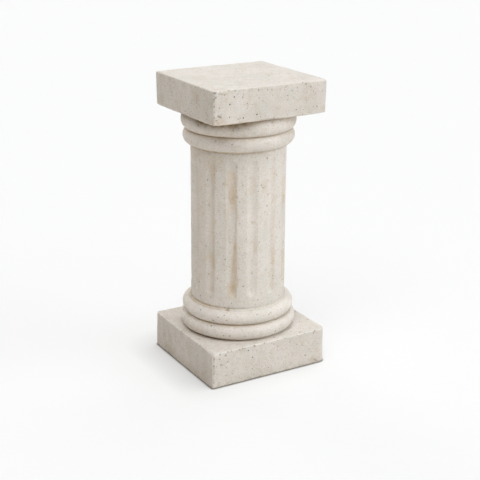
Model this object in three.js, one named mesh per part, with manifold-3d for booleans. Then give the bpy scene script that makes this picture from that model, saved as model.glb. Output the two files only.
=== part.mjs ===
// A garden column of cream cast stone, made in one piece: a square foot slab, two round
// mouldings, a fluted round shaft, two more mouldings and a square top slab.
// Lengths are millimetres, +Z is up, and the origin is the centre of the underside.
// One flute is centred on +X, and the slabs' sides face along X and Y.

import * as THREE from "three";
import { mergeVertices } from "three/addons/utils/BufferGeometryUtils.js";
import Module from "manifold-3d";

// Driving dimensions
const HEIGHT = 609.6;
const FOOT_SLAB = { lowerWidth: 265.4, upperWidth: 263.6, thickness: 75.4 };
const TOP_SLAB = { lowerWidth: 249.6, upperWidth: 251.4, thickness: 65.4 };
const SLAB_CORNER_RADIUS = 3;
const SLAB_EDGE_ROUNDING = 2;

const SHAFT = { footRadius: 99.7, neckRadius: 98.9, footHeight: 146, neckHeight: 471.6 };
const FLUTES = { count: 14, width: 21.7, depth: 3.2, lowEnd: 168.5, highEnd: 457.5 };

// Each moulding bulges from its groove's radius (root) to its own radius. Its middle is the
// height of its widest ring, and rise and fall are its reach above and below that ring.
const FOOT_LOWER_MOULDING = { root: 106.5, radius: 123.5, middle: 94.5, fall: 16.3, rise: 16.7 };
const FOOT_UPPER_MOULDING = { root: 103.8, radius: 119, middle: 127.5, fall: 15.2, rise: 15 };
const NECK_LOWER_MOULDING = { root: 100.4, radius: 115.5, middle: 492.3, fall: 20.7, rise: 13 };
const NECK_UPPER_MOULDING = { root: 102.4, radius: 119.3, middle: 524.6, fall: 17.8, rise: 18 };
const SHAFT_FILLET = { radius: 103.8, top: 145.4, chamfer: 0.7 };
const SLAB_OVERLAP = 15; // how far the turned stone runs into each slab

// Facets
const TURNED_SIDES = FLUTES.count * 6;
const MOULDING_STEPS = 7; // straight steps around each moulding
const FLUTE_CUTTER_SIDES = 40;
const FLUTE_CUTTER_END_STEPS = 9;
const CORNER_STEPS = 2;

const STONE_COLOUR = 0xd8d0c4;

const wasm = await Module();
wasm.setup();

/** A closed three.js geometry as a manifold-3d solid. */
function solidOf(geometry) {
  const bare = geometry.clone();
  bare.deleteAttribute("normal");
  bare.deleteAttribute("uv");
  const welded = mergeVertices(bare, 1e-3);
  return new wasm.Manifold(
    new wasm.Mesh({
      numProp: 3,
      vertProperties: welded.attributes.position.array,
      triVerts: new Uint32Array(welded.index.array),
    }),
  );
}

/** A manifold-3d solid as a three.js geometry with flat facets. */
function geometryOf(solid) {
  const { vertProperties, triVerts } = solid.getMesh();
  const indexed = new THREE.BufferGeometry();
  indexed.setAttribute("position", new THREE.BufferAttribute(vertProperties, 3));
  indexed.setIndex(new THREE.BufferAttribute(triVerts, 1));
  const facets = indexed.toNonIndexed();
  facets.computeVertexNormals();
  return facets;
}

/** A square with rounded corners, centred on the origin. */
function roundedSquare(width, radius) {
  const half = width / 2;
  const inner = half - radius;
  const outline = new THREE.Shape();
  outline.absarc(inner, inner, radius, 0, Math.PI / 2);
  outline.absarc(-inner, inner, radius, Math.PI / 2, Math.PI);
  outline.absarc(-inner, -inner, radius, Math.PI, 1.5 * Math.PI);
  outline.absarc(inner, -inner, radius, 1.5 * Math.PI, 2 * Math.PI);
  return outline;
}

/** A square slab with rounded edges, whose sides lean a little, standing on the given height. */
function slab({ lowerWidth, upperWidth, thickness }, floor) {
  const geometry = new THREE.ExtrudeGeometry(roundedSquare(lowerWidth, SLAB_CORNER_RADIUS), {
    depth: thickness - 2 * SLAB_EDGE_ROUNDING,
    curveSegments: CORNER_STEPS,
    bevelThickness: SLAB_EDGE_ROUNDING,
    bevelSize: SLAB_EDGE_ROUNDING,
    bevelOffset: -SLAB_EDGE_ROUNDING,
    bevelSegments: CORNER_STEPS,
  });
  geometry.translate(0, 0, SLAB_EDGE_ROUNDING);
  const position = geometry.attributes.position;
  for (let i = 0; i < position.count; i++) {
    const share = position.getZ(i) / thickness;
    const scale = 1 + (upperWidth / lowerWidth - 1) * share;
    position.setX(i, position.getX(i) * scale);
    position.setY(i, position.getY(i) * scale);
  }
  return geometry.translate(0, 0, floor);
}

/** Half the section of a round moulding, from its foot to its top, as points (radius, height). */
function moulding({ root, radius, middle, fall, rise }) {
  const bulge = radius - root;
  return Array.from({ length: MOULDING_STEPS + 1 }, (_, step) => {
    const angle = Math.PI * (step / MOULDING_STEPS - 0.5);
    const reach = angle < 0 ? fall : rise;
    return new THREE.Vector2(root + bulge * Math.cos(angle), middle + reach * Math.sin(angle));
  });
}

/** Everything turned: the mouldings and the plain shaft, as one solid of revolution. */
function turnedStone() {
  const low = FOOT_SLAB.thickness - SLAB_OVERLAP;
  const high = HEIGHT - TOP_SLAB.thickness + SLAB_OVERLAP;
  const profile = [
    new THREE.Vector2(0, low),
    new THREE.Vector2(FOOT_LOWER_MOULDING.root, low),
    ...moulding(FOOT_LOWER_MOULDING),
    ...moulding(FOOT_UPPER_MOULDING),
    new THREE.Vector2(SHAFT_FILLET.radius, SHAFT_FILLET.top - SHAFT_FILLET.chamfer),
    new THREE.Vector2(SHAFT_FILLET.radius - SHAFT_FILLET.chamfer, SHAFT_FILLET.top),
    new THREE.Vector2(SHAFT.footRadius, SHAFT.footHeight),
    new THREE.Vector2(SHAFT.neckRadius, SHAFT.neckHeight),
    ...moulding(NECK_LOWER_MOULDING),
    ...moulding(NECK_UPPER_MOULDING),
    new THREE.Vector2(NECK_UPPER_MOULDING.root, high),
    new THREE.Vector2(0, high),
  ];
  const geometry = new THREE.LatheGeometry(profile, TURNED_SIDES);
  return geometry.rotateX(Math.PI / 2); // the lathe turns about Y, and the column stands on Z
}

/** The scoop that cuts one flute: a rod with ball ends, leaning with the shaft's taper. */
function fluteCutter(angle) {
  const { width, depth, lowEnd, highEnd } = FLUTES;
  const shaftRise = SHAFT.neckHeight - SHAFT.footHeight;
  const lean = Math.atan((SHAFT.footRadius - SHAFT.neckRadius) / shaftRise);
  const middle = (lowEnd + highEnd) / 2;
  const share = (middle - SHAFT.footHeight) / shaftRise;
  const shaftRadius = THREE.MathUtils.lerp(SHAFT.footRadius, SHAFT.neckRadius, share);
  const crown = shaftRadius - Math.sqrt(shaftRadius ** 2 - (width / 2) ** 2);
  const belowChord = depth - crown;
  const rodRadius = (width ** 2 / 4 + belowChord ** 2) / (2 * belowChord);
  // The ball ends leave the surface half a width from where the rod's own length stops.
  const rodLength = highEnd - lowEnd - width;
  const rod = new THREE.CapsuleGeometry(
    rodRadius,
    rodLength,
    FLUTE_CUTTER_END_STEPS,
    FLUTE_CUTTER_SIDES,
  );
  return rod
    .rotateX(Math.PI / 2)
    .rotateY(-lean)
    .translate(shaftRadius + rodRadius - depth, 0, middle)
    .rotateZ(angle);
}

/** The whole casting as one solid. */
function castColumn() {
  const body = solidOf(turnedStone())
    .add(solidOf(slab(FOOT_SLAB, 0)))
    .add(solidOf(slab(TOP_SLAB, HEIGHT - TOP_SLAB.thickness)));
  return Array.from({ length: FLUTES.count }, (_, i) => (i * 2 * Math.PI) / FLUTES.count)
    .map((angle) => solidOf(fluteCutter(angle)))
    .reduce((stone, cutter) => stone.subtract(cutter), body);
}

const castStone = new THREE.MeshStandardMaterial({
  color: STONE_COLOUR,
  roughness: 0.9,
  metalness: 0,
});

const column = new THREE.Mesh(geometryOf(castColumn()), castStone);
column.name = "column";

const gardenColumn = new THREE.Group();
gardenColumn.add(column);

export default gardenColumn;
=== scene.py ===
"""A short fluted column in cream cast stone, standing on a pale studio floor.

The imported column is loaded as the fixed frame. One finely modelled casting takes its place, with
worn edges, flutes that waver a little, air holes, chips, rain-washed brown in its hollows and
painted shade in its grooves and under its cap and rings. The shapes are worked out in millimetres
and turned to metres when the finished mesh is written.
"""

import logging
import math
import random
from collections.abc import Iterator
from dataclasses import dataclass, field, replace
from enum import Enum

import bmesh
import bpy
import numpy as np
from mathutils import Matrix, Vector, kdtree, noise


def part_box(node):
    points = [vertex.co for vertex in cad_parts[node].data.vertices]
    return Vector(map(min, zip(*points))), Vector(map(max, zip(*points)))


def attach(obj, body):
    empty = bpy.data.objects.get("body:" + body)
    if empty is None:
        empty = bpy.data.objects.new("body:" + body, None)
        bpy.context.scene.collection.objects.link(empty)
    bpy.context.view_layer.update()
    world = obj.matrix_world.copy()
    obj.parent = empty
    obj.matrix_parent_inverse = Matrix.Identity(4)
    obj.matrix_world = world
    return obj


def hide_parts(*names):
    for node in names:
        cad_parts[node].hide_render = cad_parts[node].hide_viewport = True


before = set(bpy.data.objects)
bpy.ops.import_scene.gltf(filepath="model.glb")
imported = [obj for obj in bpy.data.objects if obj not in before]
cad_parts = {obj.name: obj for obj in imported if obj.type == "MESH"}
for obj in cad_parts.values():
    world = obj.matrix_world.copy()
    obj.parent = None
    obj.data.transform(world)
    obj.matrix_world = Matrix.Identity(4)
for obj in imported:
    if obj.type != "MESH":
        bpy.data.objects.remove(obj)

LOG = logging.getLogger("column")
MM = 0.001
FULL_TURN = 2 * math.pi
CAMERA_AZIMUTH = -29.94  # degrees, the way the camera stands round the column


def linear(hex_colour: str) -> tuple[float, float, float, float]:
    """Turns an sRGB hex colour to the linear colour that a shader takes.

    Args:
        hex_colour: six hex digits, such as "d8d0c4".

    Returns:
        The linear red, green and blue, and an alpha of one.
    """
    channels = [int(hex_colour[i : i + 2], 16) / 255 for i in (0, 2, 4)]
    curve = [c / 12.92 if c <= 0.04045 else ((c + 0.055) / 1.055) ** 2.4 for c in channels]
    return (*curve, 1.0)


def add_node(
    tree: bpy.types.NodeTree,
    kind: str,
    settings: dict[str, object] | None = None,
    inputs: dict[str | int, object] | None = None,
) -> bpy.types.Node:
    """Adds a node with its settings and links.

    Args:
        tree: the node tree to add to.
        kind: Blender's name of the node's type.
        settings: the node's own properties, by name.
        inputs: a value or a socket to link for each input, by name or place.

    Returns:
        The new node.
    """
    node = tree.nodes.new(kind)
    for name, value in (settings or {}).items():
        setattr(node, name, value)
    for key, value in (inputs or {}).items():
        if isinstance(value, bpy.types.NodeSocket):
            tree.links.new(value, node.inputs[key])
        else:
            node.inputs[key].default_value = value
    return node


def product(
    tree: bpy.types.NodeTree, one: bpy.types.NodeSocket, other: bpy.types.NodeSocket | float
) -> bpy.types.NodeSocket:
    """Multiplies a shader's value by another value or by a number.

    Args:
        tree: the node tree to add to.
        one: the first value.
        other: the second value, or a number.

    Returns:
        The product's socket.
    """
    return add_node(tree, "ShaderNodeMath", {"operation": "MULTIPLY"}, {0: one, 1: other}).outputs[0]


def remapped(
    tree: bpy.types.NodeTree,
    value: bpy.types.NodeSocket,
    given: tuple[float, float] = (0.0, 1.0),
    wanted: tuple[float, float] = (0.0, 1.0),
    held: bool = True,
) -> bpy.types.NodeSocket:
    """Stretches a shader's value from one range to another.

    Args:
        tree: the node tree to add to.
        value: the value.
        given: the two ends of the range that it comes from.
        wanted: what those ends become.
        held: whether a value beyond the ends stays at the nearer end.

    Returns:
        The new value's socket.
    """
    ends = {"From Min": given[0], "From Max": given[1], "To Min": wanted[0], "To Max": wanted[1]}
    node = add_node(tree, "ShaderNodeMapRange", {"clamp": held}, {"Value": value, **ends})
    return node.outputs[0]


def read_mark(tree: bpy.types.NodeTree, name: str) -> bpy.types.NodeSocket:
    """Reads one of the mesh's marks, such as "wash", into a material."""
    return add_node(tree, "ShaderNodeAttribute", {"attribute_name": name}).outputs["Fac"]


def smooth_step(value: np.ndarray) -> np.ndarray:
    """Eases a value from 0 to 1, flat at both ends."""
    clipped = np.clip(value, 0, 1)
    return clipped * clipped * (3 - 2 * clipped)


def fractal(points: np.ndarray, size: float, octaves: int, seed: float) -> np.ndarray:
    """Reads smooth fractal noise at many points.

    Args:
        points: the points, in millimetres.
        size: the width of the largest lumps, in millimetres.
        octaves: how many times the noise repeats at half the size.
        seed: a shift that gives each use its own pattern.

    Returns:
        One value for each point, about -1 to 1.
    """
    shifted = points / size + seed
    return np.array([noise.fractal(p, 0.9, 2.0, octaves) for p in shifted.tolist()])


def world_angle(seen_angle: float) -> float:
    """Turns an angle seen from the camera, to the right of the middle, to one about +Z from +X."""
    return seen_angle + CAMERA_AZIMUTH - 90


def arc(
    centre: tuple[float, float],
    reach: tuple[float, float],
    turn: tuple[float, float],
    spacing: float,
) -> list[tuple[float, float]]:
    """Lays points on a quarter or half ellipse of an outline.

    Args:
        centre: the ellipse's centre (radius, height).
        reach: its half axes (outwards, upwards).
        turn: its first and last angle in degrees, from outwards towards up.
        spacing: about how far apart the points are.

    Returns:
        The points (radius, height), both ends included.
    """
    first, last = np.radians(turn)
    length = abs(last - first) * (reach[0] + reach[1]) / 2
    steps = max(2, math.ceil(length / spacing))
    angles = np.linspace(first, last, steps + 1)
    return [(centre[0] + reach[0] * math.cos(a), centre[1] + reach[1] * math.sin(a)) for a in angles]


def straight(
    start: tuple[float, float], end: tuple[float, float], spacing: float
) -> list[tuple[float, float]]:
    """Lays evenly spaced points between two points of an outline.

    Args:
        start: the first point (radius, height).
        end: the last one.
        spacing: how far apart the new points are at most.

    Returns:
        The points (radius, height), without the two given ones.
    """
    steps = max(1, math.ceil(math.dist(start, end) / spacing))
    shares = [i / steps for i in range(1, steps)]
    return [(start[0] + (end[0] - start[0]) * t, start[1] + (end[1] - start[1]) * t) for t in shares]


class Arris(Enum):
    """The level edges of a slab."""

    UPPER = "upper"
    LOWER = "lower"


@dataclass
class Slab:
    """A square slab whose sides lean a little. Lengths are millimetres."""

    lower_width: float
    upper_width: float
    bottom: float
    top: float
    root: float  # radius of the round stone that meets it
    upper_rounding: float
    lower_rounding: float
    round_side: Arris  # which face meets the round stone
    # How far the +X, -X, +Y and -Y sides stand out of square
    out_of_square: tuple[float, float, float, float]
    # Rounding of the upright corners at (+X, +Y), (-X, +Y), (+X, -Y) and (-X, -Y)
    corners: tuple[float, float, float, float]
    # How much higher the free face lies at its +X and +Y sides than at the other two
    tilt: tuple[float, float] = (0.0, 0.0)
    sag: float = 0.0  # how much lower the lower arris lies along the sides than at the corners
    battered: float = 0.0  # how much more the upper arrises are rounded at the (-X, -Y) corner
    splay: float = 0.0  # how much further the -X side stands out at its foot than at its top

    def half_width(self, height: np.ndarray | float) -> np.ndarray | float:
        """The slab's half width at a height."""
        share = (height - self.bottom) / (self.top - self.bottom)
        return (self.lower_width + (self.upper_width - self.lower_width) * share) / 2

    def side_outline(self, spacing: float) -> list[tuple[float, float]]:
        """The outline of a side, from the lower arris to the upper one.

        Args:
            spacing: about how far apart the points are.

        Returns:
            The points (radius, height), both ends included.
        """
        build_radius, arc_spacing = 0.8, 0.5
        low = float(self.half_width(self.bottom))
        high = float(self.half_width(self.top))
        reach = (build_radius, build_radius)
        lower = arc((low - build_radius, self.bottom + build_radius), reach, (-90, 0), arc_spacing)
        upper = arc((high - build_radius, self.top - build_radius), reach, (0, 90), arc_spacing)
        return lower + self.graded(lower[-1], upper[0], spacing) + upper

    @staticmethod
    def graded(
        start: tuple[float, float], end: tuple[float, float], spacing: float
    ) -> list[tuple[float, float]]:
        """Lays points between two arrises, closer together near both ends.

        Args:
            start: the lower arris (radius, height).
            end: the upper arris.
            spacing: about how far apart the points are.

        Returns:
            The points (radius, height), without the two given ones.
        """
        count = math.ceil(math.dist(start, end) / spacing)
        squeeze = 0.8
        shares = [
            0.5 + 0.5 * math.sin(squeeze * math.pi * (i / count - 0.5)) / math.sin(squeeze * math.pi / 2)
            for i in range(1, count)
        ]
        return [(start[0] + (end[0] - start[0]) * t, start[1] + (end[1] - start[1]) * t) for t in shares]

    def squared(self, points: np.ndarray) -> np.ndarray:
        """Moves the slab's rings from circles to squares.

        Args:
            points: the casting's points as turned.

        Returns:
            The points, with this slab's own rings squared.
        """
        radius = np.hypot(points[:, 0], points[:, 1])
        middle = (self.bottom + self.top) / 2
        height = points[:, 2]
        slack = 0.6
        if self.round_side is Arris.UPPER:
            own = height < self.top + slack
            full = height < middle
        else:
            own = height > self.bottom - slack
            full = height > middle
        half = self.half_width(height)
        inset = 4.0
        share = np.where(full, 1.0, np.clip((radius - self.root) / (half - inset - self.root), 0, 1))
        angle = np.arctan2(points[:, 1], points[:, 0])
        side = np.floor((angle + math.pi / 4) / (math.pi / 2))
        local = (angle - side * math.pi / 2) / (math.pi / 4)
        squeeze = 0.8 * math.pi / 2
        across = radius * np.sin(squeeze * local) / math.sin(squeeze)
        turn = side * math.pi / 2
        square_x = radius * np.cos(turn) - across * np.sin(turn)
        square_y = radius * np.sin(turn) + across * np.cos(turn)
        moved = points.copy()
        moved[:, 0] = np.where(own, points[:, 0] * (1 - share) + square_x * share, points[:, 0])
        moved[:, 1] = np.where(own, points[:, 1] * (1 - share) + square_y * share, points[:, 1])
        return moved

    def edge_distances(self, points: np.ndarray) -> tuple[np.ndarray, np.ndarray, np.ndarray]:
        """Measures how far each point is inside the slab's sides and its nearer level face.

        Args:
            points: the casting's points.

        Returns:
            The three distances of each point.
        """
        half = self.half_width(points[:, 2])
        out = self.stand_out(points)
        inside_x = half + out[:, 0] - np.abs(points[:, 0])
        inside_y = half + out[:, 1] - np.abs(points[:, 1])
        level = np.minimum(points[:, 2] - self.bottom, self.top - points[:, 2])
        return inside_x, inside_y, level

    def stand_out(self, points: np.ndarray) -> np.ndarray:
        """Works out how far the sides nearest each point stand out of square.

        Args:
            points: the casting's points.

        Returns:
            Two columns, one for X and one for Y.
        """
        plus, minus = self.out_of_square[::2], self.out_of_square[1::2]
        out = np.where(points[:, :2] > 0, plus, minus)
        low = np.clip((self.top - points[:, 2]) / (self.top - self.bottom), 0, 1)
        out[:, 0] += np.where(points[:, 0] < 0, self.splay * low, 0)
        return out

    def owns(self, points: np.ndarray) -> np.ndarray:
        """Tells which points belong to the slab and not to the round stone.

        Args:
            points: the casting's points.

        Returns:
            A yes or no for each point.
        """
        slack = 0.05
        if self.round_side is Arris.UPPER:
            return points[:, 2] <= self.top + slack
        return points[:, 2] >= self.bottom - slack

    def skewed(self, points: np.ndarray) -> np.ndarray:
        """Moves the slab's sides out of square.

        Args:
            points: the casting's points.

        Returns:
            The points, moved.
        """
        half = self.half_width(points[:, 2])
        moved = points.copy()
        own = self.owns(points)
        start = self.root * 0.7  # the shift dies out under the round stone
        out = self.stand_out(points)
        for axis in (0, 1):
            share = np.clip((np.abs(points[:, axis]) - start) / (half - start), 0, 1)
            moved[:, axis] += np.where(own, np.sign(points[:, axis]) * out[:, axis] * share, 0)
        return moved

    def cornered(self, points: np.ndarray) -> np.ndarray:
        """Rounds the slab's upright corners, tilts its free face and lets its lower arrises sag.

        Args:
            points: the casting's points.

        Returns:
            The points, moved.
        """
        own = self.owns(points)
        inside = np.stack(self.edge_distances(points)[:2], axis=1)
        quarter = (points[:, 0] < 0) + 2 * (points[:, 1] < 0)
        radius = np.array(self.corners)[quarter]
        reach = np.maximum(radius[:, None] - inside, 0)
        length = np.maximum(np.hypot(reach[:, 0], reach[:, 1]), 1e-6)
        pulled = reach * (1 - reach.max(axis=1) / length)[:, None]
        moved = points.copy()
        moved[:, :2] -= np.where(own[:, None], np.sign(points[:, :2]) * pulled, 0)
        middle = (self.bottom + self.top) / 2
        free = np.clip((points[:, 2] - middle) / (self.top - middle), 0, 1)
        across = (points[:, :2] / self.half_width(self.top) + 1) / 2
        moved[:, 2] += np.where(own, free * (across @ np.array(self.tilt)), 0)
        low = np.clip((middle - points[:, 2]) / (middle - self.bottom), 0, 1)
        sides = np.sort(np.abs(points[:, :2]), axis=1) / self.half_width(self.bottom)
        sag_start, sag_ease, corner_power = 0.85, 0.13, 10
        out = np.clip((sides[:, 1] - sag_start) / sag_ease, 0, 1)
        from_corner = 1 - np.minimum(sides[:, 0], 1) ** corner_power
        moved[:, 2] -= np.where(own, self.sag * low * out * from_corner, 0)
        return moved

    def worn(self, points: np.ndarray) -> np.ndarray:
        """Rubs the slab's edges and corners round, more in some places than in others.

        Args:
            points: the casting's points.

        Returns:
            The points, with this slab's edges worn.
        """
        own = np.flatnonzero(self.owns(points))
        part = points[own]
        inside = np.stack(self.edge_distances(part), axis=1)
        upper = part[:, 2] > (self.bottom + self.top) / 2
        rounding = np.where(upper, self.upper_rounding, self.lower_rounding)
        # The wear comes and goes in long waves and in short nicks
        waves, nicks = fractal(part, 34, 2, 3.1), fractal(part, 7, 2, 8.7)
        rounding = rounding * (1 + 0.45 * waves + 0.5 * nicks)
        corner_reach = 22
        from_corner = np.hypot(inside[:, 0], inside[:, 1]) / corner_reach
        near = (part[:, 0] < 0) & (part[:, 1] < 0) & upper
        rounding += np.where(near, self.battered * np.exp(-(from_corner**2)), 0)
        sharpest, bluntest = 0.8, 9
        rounding = np.clip(rounding, sharpest, bluntest)
        reach = np.maximum(rounding[:, None] - inside, 0)
        length = np.linalg.norm(reach, axis=1)
        over = length > rounding
        pulled = np.where(over[:, None], reach * (rounding / np.maximum(length, 1e-6))[:, None], reach)
        shift = reach - pulled
        part[:, 0] -= np.sign(part[:, 0]) * shift[:, 0]
        part[:, 1] -= np.sign(part[:, 1]) * shift[:, 1]
        part[:, 2] -= np.where(upper, 1, -1) * shift[:, 2]
        worn = points.copy()
        worn[own] = part
        return worn

    def rubbed(self, points: np.ndarray) -> np.ndarray:
        """Works out how much each point lies on a worn arris, from 0 to 1.

        Args:
            points: the casting's points.

        Returns:
            A share for each point.
        """
        second = np.sort(np.stack(self.edge_distances(points), axis=1), axis=1)[:, 1]
        band = 2.4
        return np.where(self.owns(points), smooth_step(1.15 - second / band), 0)


@dataclass
class Moulding:
    """A round ring moulding. Its middle is the height of its widest ring."""

    root: float
    radius: float
    middle: float
    fall: float
    rise: float
    upper_root: float

    def outline(self, spacing: float) -> list[tuple[float, float]]:
        """The ring's outline, from its foot to its top.

        Args:
            spacing: about how far apart the points are.

        Returns:
            The points (radius, height), both ends included.
        """
        lower = arc((self.root, self.middle), (self.radius - self.root, self.fall), (-90, 0), spacing)
        upper_bulge = self.radius - self.upper_root
        upper = arc((self.upper_root, self.middle), (upper_bulge, self.rise), (0, 90), spacing)
        return lower + upper[1:]


@dataclass(frozen=True)
class Flute:
    """How one flute strays from the even ones: aside round the shaft, and wider or narrower."""

    aside: float = 0.0
    wider: float = 0.0


@dataclass
class Flutes:
    """The shallow channels up the shaft. The first one is centred on +X."""

    count: int = 14
    width: float = 21.7
    depth: float = 3.2
    low_end: float = 168.5
    high_end: float = 457.5
    rim_softness: float = 0.1
    sway: float = 0.8  # how far each flute wavers aside on its way up
    swell: float = 0.06  # the share by which its width comes and goes
    wave_length: float = 60.0
    # How the flutes that show in the photograph stray, by number
    seen: dict[int, Flute] = field(
        default_factory=lambda: {
            12: Flute(0.7, -2.3),
            11: Flute(1.1, -1.4),
            10: Flute(0.7, 0.8),
            9: Flute(2.3, 0.3),
            8: Flute(-0.9, -0.2),
            7: Flute(-1.5, -0.7),
        }
    )
    seed: int = 5

    def strays(self) -> list[Flute]:
        """Lists how each flute strays: as seen on the near side, at random on the far side.

        Returns:
            One flute for each number, from the one on +X round through +Y.
        """
        chance = random.Random(self.seed)
        drawn = [Flute(chance.gauss(0, 0.9), chance.gauss(0, 0.9)) for _ in range(self.count)]
        return [self.seen.get(number, drawn[number]) for number in range(self.count)]

    def across(self, points: np.ndarray) -> tuple[np.ndarray, np.ndarray, np.ndarray]:
        """Where points lie against their nearest flute.

        Args:
            points: the casting's points.

        Returns:
            The flute's number, the way across from its middle, and its half width there.
        """
        angle = np.arctan2(points[:, 1], points[:, 0])
        pitch = FULL_TURN / self.count
        turns = np.round(angle / pitch)
        number = (turns % self.count).astype(int)
        apart = 7.3  # keeps each flute's wavering unlike its neighbours'
        up = points[:, 2] / self.wave_length
        key = np.stack([number * apart, up, np.zeros(len(up))], axis=1)
        strays = self.strays()
        aside = np.array([flute.aside for flute in strays])[number]
        wider = np.array([flute.wider for flute in strays])[number]
        sway = aside + self.sway * fractal(key, 1, 3, 4.4)
        half = (self.width + wider) / 2 * (1 + self.swell * fractal(key, 1, 2, 9.2))
        radius = np.hypot(points[:, 0], points[:, 1])
        return number, (angle - turns * pitch) * radius - sway, half

    def carved(self, points: np.ndarray, own: np.ndarray) -> np.ndarray:
        """Cuts the flutes into the shaft.

        Args:
            points: the casting's points.
            own: which points lie on the shaft.

        Returns:
            The points with the flutes cut.
        """
        carved = points.copy()
        shaft = np.flatnonzero(own)
        part = points[shaft]
        _, across, half = self.across(part)
        height = part[:, 2]
        beyond = np.maximum(np.maximum(self.low_end + half - height, height - self.high_end + half), 0)
        inside = 1 - np.hypot(across, beyond) / half
        eased = (inside + np.sqrt(inside * inside + self.rim_softness**2)) / 2
        depth = self.depth * np.clip(1 - (1 - np.minimum(eased, 1)) ** 2, 0, 1)
        scale = 1 - depth / np.hypot(part[:, 0], part[:, 1])
        carved[shaft, 0] *= scale
        carved[shaft, 1] *= scale
        return carved


@dataclass(frozen=True)
class Hole:
    """A small hollow in the face: an air hole left by casting, or a chip knocked out."""

    near: tuple[float, float, float]
    radius: float
    depth: float


@dataclass
class Knocks:
    """The air holes and chips of the casting: those that show, and more at random."""

    height: float
    half_width: float
    scattered: int = 170
    nicks: int = 60
    # Holes and chips are painted dark inside, partly soil and partly painted shade
    widest_darkened: float = 2.5  # wider chips are too open to hold much dirt
    seed: int = 23
    depth_share: float = 0.75
    # Places on the cap's wide face and on the foot's, as (along the face, height, radius)
    cap_face: tuple[tuple[float, float, float], ...] = (
        (-116, 562, 1.7),
        (-113, 560, 2.2),
        (-110, 558, 1.9),
        (-121, 597, 2.1),
        (-122, 606, 2.2),
        (-113, 603, 1.5),
        (-108, 603, 1.4),
        (-102, 601, 1.4),
        (-113, 577, 1.6),
        (-80, 607, 1.6),
        (-73, 551, 1.5),
        (-28, 603, 1.8),
        (-18, 582, 1.5),
        (-7, 602, 1.3),
        (2, 601, 1.5),
        (33, 603, 1.5),
        (38, 579, 1.5),
        (61, 600, 1.5),
        (80, 605, 1.9),
        (91, 599, 1.8),
    )
    foot_face: tuple[tuple[float, float, float], ...] = (
        (-118, 63, 1.6),
        (-115, 51, 1.9),
        (-112, 49, 1.3),
        (-103, 41, 1.4),
        (-100, 54, 1.7),
        (-97, 56, 1.3),
        (-104, 69, 1.9),
        (-117, 74, 1.8),
        (-98, 75, 1.6),
        (-91, 75, 1.5),
        (-71, 74, 1.6),
        (-60, 74, 1.5),
        (-35, 73, 1.8),
        (-13, 74, 1.5),
        (10, 69, 1.5),
        (51, 64, 1.4),
        (84, 49, 1.3),
        (21, 34, 1.4),
        (114, 8, 2.8),
        (118, 4, 2.6),
    )
    # Chips on the upright arris nearest the camera, as (height, radius)
    front_arris: tuple[tuple[float, float], ...] = (
        (605, 2.0),
        (601, 1.2),
        (594, 1.7),
        (590, 1.0),
        (579, 1.6),
        (570, 1.2),
        (559, 1.5),
        (66, 1.6),
        (62, 1.1),
        (50, 1.7),
        (37, 1.1),
        (33, 1.5),
        (14, 1.3),
    )
    # Places on the rings and shaft, as (seen angle, height, radius)
    round_stone: tuple[tuple[float, float, float], ...] = (
        (-42, 528, 1.9),
        (-5, 523, 1.6),
        (-6, 496, 1.4),
        (-26, 121, 1.7),
        (-12, 125, 1.4),
        (33, 132, 1.5),
        (36, 135, 1.3),
        (20, 139, 1.4),
        (-8, 93, 1.8),
        (-14, 93, 1.3),
        (7, 92, 1.3),
        (24, 160, 1.3),
        (-32, 428, 1.5),
        (28, 405, 1.7),
        (30, 399, 1.4),
    )

    def shown(self) -> list[Hole]:
        """Lists the holes and chips that show in the photograph.

        Returns:
            The holes, each near its place on the surface.
        """
        wall = -self.half_width
        spots = [((x, wall, z), radius) for x, z, radius in self.cap_face + self.foot_face]
        spots += [((wall, wall, z), radius) for z, radius in self.front_arris]
        reach = self.half_width * 0.9
        for seen_angle, z, radius in self.round_stone:
            turn = math.radians(world_angle(seen_angle))
            spots.append(((reach * math.cos(turn), reach * math.sin(turn), z), radius))
        return [Hole(place, radius, radius * self.depth_share) for place, radius in spots]

    def random_ones(self) -> list[Hole]:
        """Draws air holes all over, and nicks along the slabs' arrises.

        Returns:
            The holes, each near its place on the surface.
        """
        chance = random.Random(self.seed)
        holes = []
        reach = self.half_width * 1.2
        for _ in range(self.scattered):
            turn = chance.uniform(0, FULL_TURN)
            place = (reach * math.cos(turn), reach * math.sin(turn), chance.uniform(4, self.height))
            radius = 0.7 + 0.7 * chance.random() ** 3  # most are small
            holes.append(Hole(place, radius, radius * self.depth_share))
        foot_top, cap_bottom, floor = 75.4, 545.0, 1.0
        levels = (foot_top, foot_top, self.height, self.height, cap_bottom, floor)
        for _ in range(self.nicks):
            along = chance.uniform(-0.92, 0.92) * self.half_width
            side = chance.choice(((along, self.half_width), (along, -self.half_width)))
            x, y = side if chance.random() < 0.5 else side[::-1]
            radius = 0.9 + 1.3 * chance.random() ** 2
            depth = radius / 2
            holes.append(Hole((x, y, chance.choice(levels)), radius, depth))
        return holes

    def settled(self, points: np.ndarray) -> list[Hole]:
        """Moves every hole, chip and nick onto the surface.

        Args:
            points: the points of the surface.

        Returns:
            The holes, chips and nicks.
        """
        tree = tree_of(points)
        return [
            replace(hole, near=tuple(tree.find(hole.near)[0]))
            for hole in self.shown() + self.random_ones()
        ]


def tree_of(points: np.ndarray) -> kdtree.KDTree:
    """Builds a search tree of some points.

    Args:
        points: the points to find again.

    Returns:
        The tree.
    """
    tree = kdtree.KDTree(len(points))
    for number, place in enumerate(points.tolist()):
        tree.insert(place, number)
    tree.balance()
    return tree


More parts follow.
